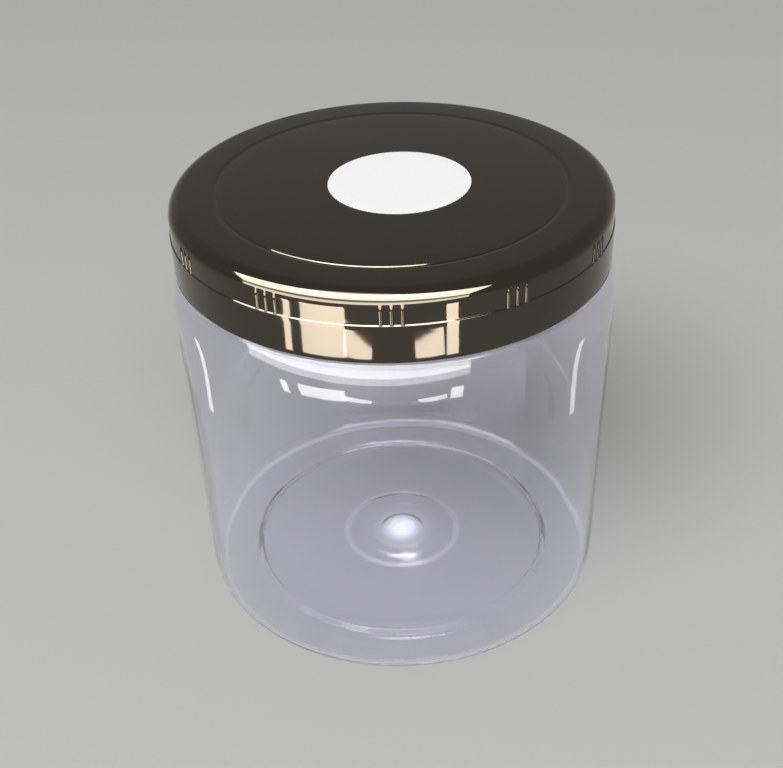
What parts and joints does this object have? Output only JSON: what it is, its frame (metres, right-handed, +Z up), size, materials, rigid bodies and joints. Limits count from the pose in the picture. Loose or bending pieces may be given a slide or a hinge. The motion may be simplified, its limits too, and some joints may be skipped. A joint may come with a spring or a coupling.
{
  "type": "disinfectant jar",
  "caption": "Clear plastic wide-mouth jar with a glossy dark metallised screw lid, ribbed round its skirt, for salon disinfectant and small tools.",
  "frame": {"origin": "centre of the jar's base, on the surface that it stands on", "axes": "+Z up along the jar's axis, -Y towards the front group of ribs"},
  "size_m": [0.095, 0.095, 0.0956],
  "materials": {
    "clear_plastic": "clear, smooth, faint blue-violet tint",
    "metallised_plastic": "mirror-gloss dark gunmetal, vacuum metallised",
    "foam": "matte foamed liner",
    "sticker": "matte white coated paper"
  },
  "bodies": {
    "jar": {"jar": "clear_plastic"},
    "seal": {"liner": "foam"},
    "lid": {"lid": "metallised_plastic", "label": "sticker"}
  },
  "joints": [
    {"name": "lid_rise", "type": "slide", "parent": "jar", "child": "seal", "axis": [0, 0, 1], "range_m": [0, 0.0204]},
    {"name": "lid_turn", "type": "hinge", "parent": "seal", "child": "lid", "pos_m": [0, 0, 0.0881], "axis": [0, 0, 1], "range_deg": [0, 1440]}
  ],
  "couplings": [
    {"joint": "lid_rise", "follows": "lid_turn", "m_per_rad": 0.00080851}
  ]
}
